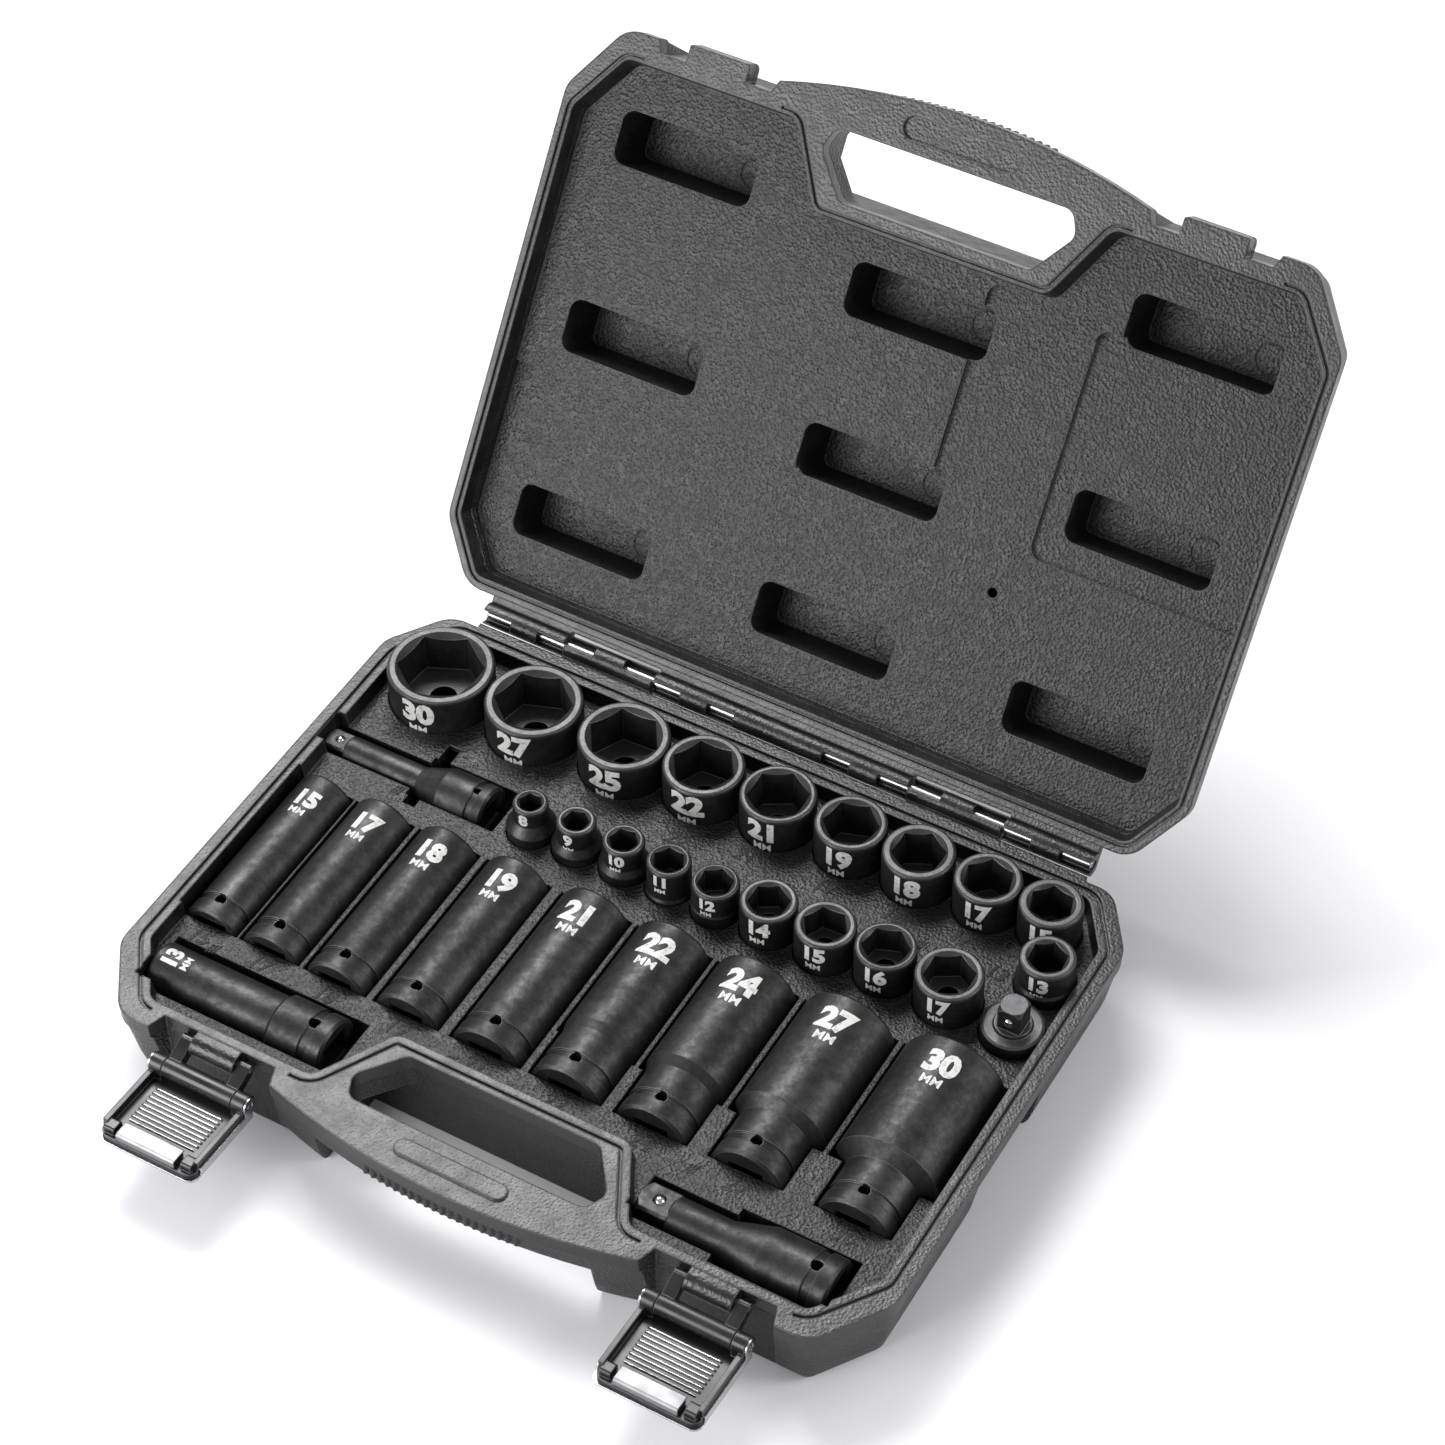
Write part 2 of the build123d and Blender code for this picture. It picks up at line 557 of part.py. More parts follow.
def latch_cover(side):
    """Bright sheet over the flap's outer face, folded up at its sides."""
    low = -FLAP_DROP - FLAP_T
    w, t = FLAP_HALF_W, COVER_T
    plate = slab((-w - t, w + t), (-FLAP_L - t, 1.2), (low - t, low))
    body = fillet(plate.edges().filter_by(Axis.Z).filter_by(lambda e: e.center().Y < -9), 3.5)
    for s in (-1, 1):
        x0, x1 = sorted((s * w, s * (w + t)))
        body += slab((x0, x1), (4.5 - FLAP_L, 1.2), (low - t, low + 2.8))
        body += rod(BARREL_R - 0.4, x0, x1, 0, 0)
        body += slab((x0, x1), (-3.0, 1.2), (low - t, 0))
    body -= rod(LATCH_PIN_R, -w - 2, w + 2, 0, 0)
    return at_latch(side, FLAP_ANGLE, flap_pivot()) * body


def latch_pin(side, pivot, half_l):
    """Steel pin with chamfered ends."""
    x = side * LATCH_X
    pin = rod(LATCH_PIN_R, x - half_l, x + half_l, *pivot)
    return chamfer(pin.edges().filter_by(GeomType.CIRCLE), 0.35)


# ---------------------------------------------------------------- tools
def turned(points):
    """Revolve a closed outline of (radius, height) about Z."""
    face = make_face(Polyline(*[(r, 0, z) for r, z in points], close=True))
    return revolve(face, Axis.Z)


def square_bore(square, depth):
    """Square drive hole going up from z = 0, with a lead-in."""
    hole = Pos(0, 0, depth / 2) * Box(square, square, depth)
    lead = loft([Rectangle(square + 2, square + 2), Pos(0, 0, 1) * Rectangle(square, square)],
                ruled=True)
    return hole + lead


def hexagon_mouth(size, turn, top, depth):
    """Hexagon going down from the mouth, with a conical lead-in."""
    flat = (size + HEX_PLAY) / 2
    corner = flat / math.cos(math.pi / 6)
    rise = (corner + 0.5 - flat) * 0.62
    prism = extrude(RegularPolygon(corner, 6, rotation=turn), depth + 1)
    lead = Pos(0, 0, top - rise / 2) * Cone(flat, corner + 0.5, rise)
    over = Pos(0, 0, top + 0.5) * Cylinder(corner + 0.5, 1)
    return Pos(0, 0, top - depth) * prism + lead + over


def socket(size, length, diameters, square, turn, neck, hex_depth):
    """Impact socket standing on its drive end: neck is where the drive end's taper runs."""
    mouth, drive = (d / 2 for d in diameters)
    low, high = neck
    hole_z, hole_r, groove = DRIVE_CUTS[square]
    face = drive - 1.0
    points = [(0, 0), (face, 0), (drive, 1.0), (drive, hole_z - groove / 2),
              (drive - 0.9, hole_z - groove / 2), (drive - 0.9, hole_z + groove / 2),
              (drive, hole_z + groove / 2), (drive, low)]
    if abs(mouth - drive) > 0.05:
        points.append((mouth, high))
    points += [(mouth, length - 1.2), (mouth - 0.4, length - 0.4), (mouth - 1.2, length),
               (0, length)]
    body = turned(points)
    body -= square_bore(square, hole_z * 2 + 1)
    body -= Pos(0, 0, length / 2) * Cylinder(square * 0.42, length)
    body -= hexagon_mouth(size, turn, length, hex_depth)
    return body - Pos(0, 0, hole_z) * Rotation(90, 0, 0) * Cylinder(hole_r, 60)


def half_socket(size, mouth, drive, x, y, turn):
    """A 1/2 inch shallow socket in the rear of the tray."""
    neck = (15.0, 17.5) if mouth > drive else (TALL_HALF - 12.0, TALL_HALF - 11.0)
    body = socket(size, TALL_HALF, (mouth, drive), HALF_SQ, turn, neck, 18.0)
    return Pos(x, y, TOP_HALF - TALL_HALF) * body


def three_socket(size, mouth, drive, x, y, turn):
    """A 3/8 inch shallow socket: the small sizes flare out to their drive end."""
    step = THREE_STEP.get(size, 11.0)
    neck = (TALL_THREE - step, TALL_THREE - step + (drive - mouth) * 0.7)
    body = socket(size, TALL_THREE, (mouth, drive), THREE_SQ, turn, neck, 12.5)
    return Pos(x, y, TOP_THREE - TALL_THREE) * body


def deep_socket(size, mouth, drive):
    """A deep socket standing on its drive end."""
    neck = (NOSE_L, NOSE_L + 4.0) if mouth > drive else (NOSE_L, NOSE_L + 1.0)
    return socket(size, DEEP_L, (mouth, drive), HALF_SQ, 0, neck, 34.0)


def deep_in_row(size):
    """A deep socket lying in the front row, mouth towards the hinge."""
    mouth, drive, x = DEEP_ROW[size]
    return Pos(x, DEEP_FRONT_Y, DEEP_AXIS_Z) * Rotation(-90, 0, 0) * deep_socket(size, mouth, drive)


def deep_thirteen():
    """The smallest deep socket, lying along X with its mouth at the left."""
    mouth, drive, x, y = DEEP_13
    body = socket(13, DEEP_L, (mouth, drive), HALF_SQ, 0, (23.0, 24.5), 34.0)
    return Pos(x + DEEP_L, y, DEEP_AXIS_Z) * Rotation(0, -90, 0) * Rotation(0, 0, 90) * body


def male_square(square, length):
    """Square drive from z = 0 upwards: round nose, chamfered edges."""
    block = Pos(0, 0, length / 2) * Box(square, square, length)
    block = chamfer(block.edges().filter_by(Axis.Z), square * 0.08)
    return block & turned([(0, 0), (square * 0.52, 0), (square * 0.66, square * 0.16),
                           (square * 0.66, length), (0, length)])


def ball_seat(square, ball_z):
    """Blind hole for a detent ball, opening on the square's -X face."""
    reach = square / 2 + 1
    hole = Cylinder(BALL_R[square] + RUN_FIT, reach + SEAT_PAST)
    return Pos((SEAT_PAST - reach) / 2, 0, ball_z) * Rotation(0, 90, 0) * hole


def extension(bar, male, female):
    """Extension bar standing on its male square: shaft, cone and female barrel."""
    x, y, length, pocket, barrel, barrel_l, shaft = bar
    square_l = male + 0.6
    cone = barrel_l * 0.36
    hole_z, hole_r, groove = DRIVE_CUTS[female]
    r, b = shaft / 2, barrel / 2
    top = length - hole_z
    body = turned([(0, square_l - 1), (r - 1, square_l - 1), (r, square_l), (r, length - barrel_l),
                   (b, length - barrel_l + cone), (b, top - groove / 2), (b - 0.9, top - groove / 2),
                   (b - 0.9, top + groove / 2), (b, top + groove / 2), (b, length - 1),
                   (b - 1, length), (0, length)])
    body += male_square(male, square_l)
    body -= Pos(0, 0, length) * mirror(square_bore(female, hole_z * 2 + 1), about=Plane.XY)
    body -= ball_seat(male, BALL_AT[male])
    return body - Pos(0, 0, top) * Rotation(0, 90, 0) * Cylinder(hole_r, 60)


def lay_bar(bar, shape):
    """Lay a bar along +X with its ball upwards."""
    return Pos(bar[0], bar[1], BAR_AXIS_Z) * Rotation(0, 90, 0) * shape


def adaptor():
    """Drive adaptor: 1/2 inch square bore below, 3/8 inch male square above."""
    x, y, diameter, height = ADAPTOR
    r = diameter / 2
    collar = THREE_SQ * 0.73
    hole_z, hole_r, groove = DRIVE_CUTS[HALF_SQ]
    body = turned([(0, 0), (r - 1, 0), (r, 1), (r, hole_z - groove / 2), (r - 0.9, hole_z - groove / 2),
                   (r - 0.9, hole_z + groove / 2), (r, hole_z + groove / 2), (r, height - 2),
                   (r - 0.5, height - 0.5), (r - 1.6, height), (collar + 0.6, height),
                   (collar, height + 1.2), (0, height + 1.2)])
    square = Pos(0, 0, height + ADAPTOR_SQ_L) * mirror(male_square(THREE_SQ, ADAPTOR_SQ_L),
                                                       about=Plane.XY)
    body += square
    body -= square_bore(HALF_SQ, hole_z * 2 + 1)
    body -= Pos(0, 0, hole_z) * Rotation(90, 0, 0) * Cylinder(hole_r, 60)
    seat = Rotation(0, 0, 90) * ball_seat(THREE_SQ, height + ADAPTOR_SQ_L - BALL_AT[THREE_SQ])
    return Pos(x, y, adaptor_floor()) * (body - seat)


def ball_rest(square):
    """Distance from the square's axis to the ball's centre when it stands out."""
    return square / 2 - BALL_R[square] + BALL_TRAVEL


def spring(height):
    """Short coil spring under a detent ball, axis along Z, from z = 0."""
    path = Helix(pitch=height / SPRING_TURNS, height=height, radius=1.15)
    return sweep(Plane(origin=path @ 0, z_dir=path % 0) * Circle(SPRING_WIRE / 2), path=path)


def save_tools():
    """Every tool, ball and spring."""
    for size, (mouth, drive, x, turn) in HALF_ROW.items():
        y = BACK_ROW_Y - mouth / 2
        save(f"socket_half_{size}", half_socket(size, mouth, drive, x, y, turn))
    mouth, drive, x, y, turn = THIRTEEN
    save("socket_half_13", half_socket(13, mouth, drive, x, y, turn))
    for size, spec in THREE_ROW.items():
        save(f"socket_three_{size}", three_socket(size, *spec))
    for size in DEEP_ROW:
        save(f"socket_deep_{size}", deep_in_row(size))
    save("socket_deep_13", deep_thirteen())
    for name, bar, square in (("half", HALF_BAR, HALF_SQ), ("three", THREE_BAR, THREE_SQ)):
        save(f"bar_{name}", lay_bar(bar, extension(bar, square, square)))
        out = ball_rest(square)
        save(f"bar_{name}_ball", lay_bar(bar, Pos(-out, 0, BALL_AT[square]) * Sphere(BALL_R[square])))
        low = SPRING_WIRE / 2 + 0.05 - SEAT_PAST
        high = out - BALL_R[square] - SPRING_WIRE / 2 - 0.02
        place = Pos(bar[0] + BALL_AT[square], bar[1], BAR_AXIS_Z + low)
        save(f"bar_{name}_spring", place * spring(high - low))
    x, y, diameter, height = ADAPTOR
    save("adaptor", adaptor())
    ball_z = adaptor_floor() + height + ADAPTOR_SQ_L - BALL_AT[THREE_SQ]
    save("adaptor_ball", Pos(x, y - ball_rest(THREE_SQ), ball_z) * Sphere(BALL_R[THREE_SQ]))


def save_case():
    """Shells, hinge pin and both latches."""
    save("base_shell", base_shell())
    save("lid_shell", lid_shell())
    save("hinge_pin", hinge_pin())
    for side, name in ((-1, "left"), (1, "right")):
        save(f"latch_{name}_link", latch_link(side))
        save(f"latch_{name}_flap", latch_flap(side))
        save(f"latch_{name}_cover", latch_cover(side))
        save(f"latch_{name}_pivot_pin", latch_pin(side, LINK_PIVOT, LINK_OUT))
        save(f"latch_{name}_hinge_pin", latch_pin(side, flap_pivot(), FLAP_HALF_W + COVER_T))


save_case()
save_tools()
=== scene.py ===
"""Looks for the socket set: materials, size marks, tray numbers, latch trim, floor, light, camera."""

import json
import math

import bmesh
import bpy
from mathutils import Matrix, Vector


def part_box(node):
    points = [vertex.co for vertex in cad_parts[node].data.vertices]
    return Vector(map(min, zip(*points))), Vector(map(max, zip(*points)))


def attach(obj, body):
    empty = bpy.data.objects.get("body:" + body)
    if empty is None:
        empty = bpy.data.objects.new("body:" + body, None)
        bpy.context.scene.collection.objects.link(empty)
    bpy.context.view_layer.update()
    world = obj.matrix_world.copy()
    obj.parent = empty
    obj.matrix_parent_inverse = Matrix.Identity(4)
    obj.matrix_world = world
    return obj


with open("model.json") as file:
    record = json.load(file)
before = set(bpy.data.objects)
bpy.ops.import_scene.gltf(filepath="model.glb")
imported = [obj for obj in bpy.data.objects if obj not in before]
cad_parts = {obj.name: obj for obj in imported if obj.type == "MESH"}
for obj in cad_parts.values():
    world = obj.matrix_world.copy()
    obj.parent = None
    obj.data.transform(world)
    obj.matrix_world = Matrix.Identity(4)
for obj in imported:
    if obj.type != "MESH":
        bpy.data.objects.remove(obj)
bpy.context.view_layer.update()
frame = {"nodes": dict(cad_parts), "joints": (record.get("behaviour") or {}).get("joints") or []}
NODES = frame["nodes"]
MM = 0.001

# ---- places taken from the frame ----
ADAPTOR_STANDS = 9.5 * MM            # how far the adaptor's top is above the parting plane
TRAY_DEPTH = 7 * MM                  # top of the tool tray, below the parting plane
BASE_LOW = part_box("base_shell")[0]
ADAPTOR_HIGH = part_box("adaptor")[1]
RIM = ADAPTOR_HIGH.z - ADAPTOR_STANDS
TRAY = RIM - TRAY_DEPTH
HINGE = sum(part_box("hinge_pin"), Vector()) / 2
LID_JOINT = next(j for j in frame["joints"] if j["child"] == "lid")
LID_TURN = math.radians(LID_JOINT["range_deg"][0])      # closed, measured from rest

# ---- marks ----
CAPITAL = 0.72                       # a capital's height over the font's size
INK = (0.62, 0.62, 0.60, 1.0)
MARK_LIFT = 0.04 * MM                # how far a printed mark stands off the steel
MARK_STEP = 0.6 * MM                 # longest facet of a mark wrapped round a socket
SIDE_MARK_AZ = math.radians(-85)     # the way the upright sockets' marks face
DEEP_MARK_IN = 15 * MM               # a deep socket's mark, from its mouth
ALONG_RADIUS = 11.0 * MM             # the socket that lies along X, and its mark
ALONG_MARK_IN = 9 * MM
ALONG_DIGITS = 6.4 * MM
ALONG_UNIT = 3.0 * MM
HALF_13_RADIUS = 10.6 * MM           # head of the shallow 13, narrower than its drive end
# heads of the smallest 3/8 drive sockets, narrower than their drive ends, in millimetres
THREE_HEAD_RADIUS = {8: 6.9, 9: 7.7, 10: 8.1, 11: 8.55, 12: 9.1}

# ---- moulded numbers on the tray ----
TRAY_LINE = 0.34 * MM                # radius of the raised line
TRAY_SHEAR = 0.2
BACK_DIGITS = 6.2 * MM
DEEP_DIGITS = 6.4 * MM
DEEP_NUMBER_GAP = 7 * MM             # from a deep socket's drive end to its number
HATCH_TALL = 3.6 * MM
HATCH_TURN = math.radians(10)
# size: (x, y) of its number on the tray, in millimetres
BACK_NUMBERS = {30: (-136, 55), 27: (-75, 60), 25: (-46, 60.5), 22: (-12, 61.5), 21: (14.5, 67),
                19: (48, 68.5), 18: (77, 69), 17: (104, 71.5), 15: (121, 75), 13: (123, 63)}
HATCHES = ((-118, 30), (-30, 54), (32, 58), (92, 61), (-134, -70), (-30, -70.5), (70, -69))

# ---- latch trim, in the flap's own frame: -y out to the tip, z up from its axis ----
FLAP_TILT = math.radians(-4.0)       # the flaps lie with their tips a little up
FLAP_FLOOR = -4.4 * MM               # inner face, below the flap's axis
FLAP_TIP = -34.6 * MM
HEM_HALF_W = 12.6 * MM
HEM_RISE = (2.5 * MM, 2.6 * MM, 2.9 * MM, 3.35 * MM)    # the fold's heights above the floor
RIB_ROWS = 9
RIB_FIRST = -8.0                     # y of the first rib, in millimetres
RIB_PITCH = 2.1                      # in millimetres
RIB_HALF_W = 14.0 * MM
RIB_FOOT = 0.3 * MM
RIB_TOP = 0.75 * MM

# ---- camera ----
CAMERA_AT = Vector((0.47645, -0.74596, 1.11077))
CAMERA_AIM = Vector((-0.02222, 0.11458, 0.04))
CAMERA_ROLL = math.radians(-0.34)
LENS_MM = 94.17
SENSOR_MM = 36.0

# ---- floor and light ----
FLOOR_HALF = 6.0
FLOOR_GAP = 0.0002                   # keeps the floor clear of the CAD's lowest face
WORLD_STRENGTH = 0.42
# name, place, aim, width and height, watts
LIGHTS = (("key", (-0.9, 0.9, 1.7), (0, 0.05, 0.05), (1.2, 0.8), 40.0),
          ("side", (1.5, 0.5, 0.9), (0, 0.05, 0.05), (0.5, 0.9), 12.0),
          ("front", (-0.75, -1.35, 0.62), (0, 0.15, 0.12), (1.1, 0.9), 27.0))


# ---------------------------------------------------------------- node helpers
class Graph:
    """Builds one material's nodes with short calls."""

    def __init__(self, name):
        self.material = bpy.data.materials.new(name)
        self.material.use_nodes = True
        self.tree = self.material.node_tree
        self.shader = self.tree.nodes["Principled BSDF"]
        self.coords = self.add("ShaderNodeTexCoord").outputs["Object"]

    def add(self, kind, **values):
        node = self.tree.nodes.new(kind)
        for key, value in values.items():
            setattr(node, key, value)
        return node

    def wire(self, source, target):
        if isinstance(source, (int, float, tuple)):
            target.default_value = source
        else:
            self.tree.links.new(source, target)

    def math(self, operation, *inputs):
        node = self.add("ShaderNodeMath", operation=operation)
        for socket, value in zip(node.inputs, inputs):
            self.wire(value, socket)
        return node.outputs[0]

    def noise(self, scale, detail=4.0, rough=0.5, coords=None):
        node = self.add("ShaderNodeTexNoise")
        self.wire(coords or self.coords, node.inputs["Vector"])
        node.inputs["Scale"].default_value = scale
        node.inputs["Detail"].default_value = detail
        node.inputs["Roughness"].default_value = rough
        return node.outputs["Fac"]

    def cells(self, scale):
        node = self.add("ShaderNodeTexVoronoi", feature="SMOOTH_F1")
        self.wire(self.coords, node.inputs["Vector"])
        node.inputs["Scale"].default_value = scale
        node.inputs["Smoothness"].default_value = 0.6
        node.inputs["Randomness"].default_value = 1.0
        return node.outputs["Distance"]

    def stretch(self, scales):
        node = self.add("ShaderNodeMapping")
        self.wire(self.coords, node.inputs["Vector"])
        node.inputs["Scale"].default_value = scales
        return node.outputs["Vector"]

    def ramp(self, value, low, high, out_low=0.0, out_high=1.0):
        node = self.add("ShaderNodeMapRange", interpolation_type="SMOOTHSTEP")
        for name, number in (("From Min", low), ("From Max", high),
                             ("To Min", out_low), ("To Max", out_high)):
            node.inputs[name].default_value = number
        self.wire(value, node.inputs["Value"])
        return node.outputs["Result"]

    def blend(self, factor, a, b):
        node = self.add("ShaderNodeMix", data_type="RGBA")
        self.wire(factor, node.inputs["Factor"])
        self.wire(a, node.inputs[6])
        self.wire(b, node.inputs[7])
        return node.outputs[2]

    def axes(self, vector):
        node = self.add("ShaderNodeSeparateXYZ")
        self.wire(vector, node.inputs[0])
        return node.outputs

    def bump(self, height, strength, distance, normal=None):
        node = self.add("ShaderNodeBump")
        node.inputs["Strength"].default_value = strength
        node.inputs["Distance"].default_value = distance
        self.wire(height, node.inputs["Height"])
        if normal is not None:
            self.wire(normal, node.inputs["Normal"])
        return node.outputs["Normal"]

    def edge(self, radius):
        """Rounded normal of sharp edges, and a mask: 1 on sharp edges, 0 on flats."""
        bevel = self.add("ShaderNodeBevel", samples=6)
        bevel.inputs["Radius"].default_value = radius
        face = self.add("ShaderNodeNewGeometry").outputs["Normal"]
        dot = self.add("ShaderNodeVectorMath", operation="DOT_PRODUCT")
        self.wire(bevel.outputs["Normal"], dot.inputs[0])
        self.wire(face, dot.inputs[1])
        mask = self.ramp(self.math("SUBTRACT", 1.0, dot.outputs["Value"]), 0.01, 0.16)
        return bevel.outputs["Normal"], mask

    def finish(self, colour, roughness, normal=None, metallic=0.0, specular=0.5):
        self.wire(colour, self.shader.inputs["Base Color"])
        self.wire(roughness, self.shader.inputs["Roughness"])
        self.shader.inputs["Metallic"].default_value = metallic
        self.shader.inputs["Specular IOR Level"].default_value = specular
        if normal is not None:
            self.wire(normal, self.shader.inputs["Normal"])
        return self.material


def grey(value):
    """An almost neutral colour, a touch blue."""
    return (value, value, value * 1.03, 1.0)


# ---------------------------------------------------------------- materials
def case_plastic(name, closed_turn=0.0):
    """Blow-moulded plastic: pebble grain, smoother and glossier in a band along the rim."""
    g = Graph(name)
    place = g.coords
    if closed_turn:
        back = g.add("ShaderNodeVectorRotate", rotation_type="X_AXIS")
        g.wire(g.coords, back.inputs["Vector"])
        back.inputs["Center"].default_value = HINGE
        back.inputs["Angle"].default_value = closed_turn
        place = back.outputs["Vector"]
    z = g.axes(place)[2]
    off_rim = g.math("ABSOLUTE", g.math("SUBTRACT", z, RIM))
    smooth = g.ramp(off_rim, 0.0062, 0.0072, 1.0, 0.0)
    rough_part = g.math("SUBTRACT", 1.0, smooth)
    rounded, edge = g.edge(0.0011)
    pebble = g.cells(900.0)
    fine = g.noise(2000.0, 2.0)
    cloud = g.noise(14.0, 3.0)
    scuff = g.noise(120.0, 5.0, 0.62)
    grain = g.math("ADD", pebble, g.math("MULTIPLY", fine, 0.35))
    grain = g.math("MULTIPLY", grain, g.math("ADD", g.math("MULTIPLY", rough_part, 0.7), 0.3))
    normal = g.bump(grain, 0.75, 0.0005, rounded)
    normal = g.bump(cloud, 0.16, 0.004, normal)
    normal = g.bump(scuff, 0.12, 0.0008, normal)
    shade = g.blend(g.ramp(scuff, 0.35, 0.75), grey(0.0075), grey(0.016))
    # Painted highlight: sharp edges painted a much lighter grey, as if catching the lights.
    shade = g.blend(edge, shade, grey(0.075))
    rough = g.math("ADD", g.math("MULTIPLY", rough_part, 0.10), g.ramp(scuff, 0.3, 0.8, 0.28, 0.42))
    return g.finish(shade, rough, normal)


def black_steel(name, upright):
    """Phosphated forged steel: mottled, oily sheen, with a painted highlight: the mouth's ring and
    other faces that look up (towards the mouth for lying tools) are painted lighter.
    """
    g = Graph(name)
    mottle = g.noise(260.0, 6.0, 0.7)
    cloud = g.noise(45.0, 3.0, 0.5)
    pits = g.cells(1300.0)
    mix = g.math("ADD", g.math("MULTIPLY", mottle, 0.6), g.math("MULTIPLY", cloud, 0.4))
    shade = g.blend(g.ramp(mix, 0.36, 0.68), grey(0.022), grey(0.060))
    normals = g.axes(g.add("ShaderNodeTexCoord").outputs["Normal"])
    # Painted highlight: faces whose normal points up (along +Y, to the mouth, for lying tools) are
    # painted a lighter, noise-streaked grey, as if catching the light from above.
    painted_top_sheen = g.ramp(normals[2] if upright else normals[1], 0.80, 0.97)
    rings = g.noise(900.0, 2.0, 0.5)
    top_sheen_colour = g.blend(rings, grey(0.075), grey(0.14))
    shade = g.blend(g.math("MULTIPLY", painted_top_sheen, 0.80), shade, top_sheen_colour)
    rounded, edge = g.edge(0.0006)
    shade = g.blend(g.math("MULTIPLY", edge, 0.80), shade, grey(0.20))
    normal = g.bump(mottle, 0.22, 0.0004, rounded)
    normal = g.bump(pits, 0.10, 0.0002, normal)
    rough = g.ramp(mix, 0.3, 0.75, 0.50, 0.34)
    return g.finish(shade, rough, normal, metallic=0.75)


def bright_metal(name, shade, rough, grain_axis=(40.0, 900.0, 900.0)):
    """Plated or drawn steel with fine drawing lines."""
    g = Graph(name)
    lines = g.noise(1.0, 4.0, 0.6, g.stretch(grain_axis))
    smear = g.noise(90.0, 4.0)
    colour = g.blend(g.ramp(smear, 0.35, 0.7), grey(shade), grey(shade * 0.90))
    normal = g.bump(lines, 0.12, 0.0002, g.edge(0.0005)[0])
    roughness = g.ramp(smear, 0.3, 0.7, rough, rough + 0.1)
    return g.finish(colour, roughness, normal, metallic=1.0)


def moulded_black(name):
    """Satin injection-moulded plastic of the latches."""
    g = Graph(name)
    speck = g.noise(700.0, 3.0, 0.6)
    cloud = g.noise(60.0, 3.0)
    colour = g.blend(g.ramp(cloud, 0.3, 0.7), grey(0.008), grey(0.015))
    rounded, edge = g.edge(0.0006)
    colour = g.blend(edge, colour, grey(0.10))
    rough = g.ramp(cloud, 0.3, 0.7, 0.24, 0.36)
    return g.finish(colour, rough, g.bump(speck, 0.10, 0.0002, rounded))


def print_ink(name):
    """White printed size marks, slightly worn."""
    g = Graph(name)
    worn = g.noise(500.0, 5.0, 0.7)
    colour = g.blend(g.ramp(worn, 0.30, 0.52), grey(0.33), INK)
    return g.finish(colour, 0.5, g.bump(worn, 0.1, 0.0002))


CASE = case_plastic("case_plastic")
LID_CASE = case_plastic("lid_plastic", -LID_TURN)
STEEL_UP = black_steel("steel_upright", True)
STEEL_LYING = black_steel("steel_lying", False)
CHROME = bright_metal("cover_plating", 0.50, 0.16)
HEM = bright_metal("hem_plating", 0.24, 0.38)
PIN = bright_metal("pin_steel", 0.42, 0.24)
BALL = bright_metal("ball_steel", 0.70, 0.08, (300.0, 300.0, 300.0))
SPRING = bright_metal("spring_steel", 0.45, 0.30)
BLACK = moulded_black("latch_plastic")
INK_MATERIAL = print_ink("mark_ink")


def material_of(node):
    """The material a CAD node wears, from its name."""
    endings = (("_flap", BLACK), ("_link", BLACK), ("_cover", CHROME), ("_pin", PIN),
               ("_ball", BALL), ("_spring", SPRING))
    for ending, material in endings:
        if node.endswith(ending):
            return material
    if node == "base_shell":
        return CASE
    if node == "lid_shell":
        return LID_CASE
    lying = node.startswith("socket_deep") or node.startswith("bar_")
    return STEEL_LYING if lying else STEEL_UP


for node, thing in NODES.items():
    thing.data.materials.clear()
    thing.data.materials.append(material_of(node))


# ---------------------------------------------------------------- marks
def text_mesh(name, words, height, bold):
    """Flat mesh of a text, centred, its capitals this high, facing +Z."""
    curve = bpy.data.curves.new(name, "FONT")
    curve.body = words
    curve.align_x = "CENTER"
    curve.size = height / CAPITAL
    curve.offset = bold
    curve.resolution_u = 3
    thing = bpy.data.objects.new(name, curve)
    bpy.context.scene.collection.objects.link(thing)
    bpy.context.view_layer.update()
    mesh = bpy.data.meshes.new_from_object(thing)
    bpy.data.objects.remove(thing)
    return mesh


def add_text(bm, words, height, bold, low):
    """Adds a line of text to a mesh, its foot at y = low."""
    mesh = text_mesh("line", words, height, bold)
    mesh.transform(Matrix.Translation((0, low, 0)))
    bm.from_mesh(mesh)
    bpy.data.meshes.remove(mesh)


def size_mark(size, height, unit_height):
    """Number with its unit below, as one flat mesh centred on the origin, cut into narrow strips."""
    bm = bmesh.new()
    gap = 0.42 * unit_height + 0.5 * MM
    add_text(bm, str(size), height, 0.075 * height, 0)
    add_text(bm, "MM", unit_height, 0.025 * unit_height, -gap - unit_height)
    bmesh.ops.triangulate(bm, faces=bm.faces[:])
    xs = [v.co.x for v in bm.verts]
    cut = min(xs) + MARK_STEP
    while cut < max(xs):
        geometry = bm.verts[:] + bm.edges[:] + bm.faces[:]
        bmesh.ops.bisect_plane(bm, geom=geometry, plane_co=(cut, 0, 0), plane_no=(1, 0, 0))
        cut += MARK_STEP
    bmesh.ops.translate(bm, verts=bm.verts[:], vec=(0, (gap + unit_height - height) / 2, 0))
    return bm


def wrap(bm, radius):
    """Bends a flat mark round a cylinder along Y: x becomes arc length, +Z the outside."""
    for v in bm.verts:
        angle = v.co.x / radius
        v.co = Vector((radius * math.sin(angle), v.co.y, radius * math.cos(angle)))


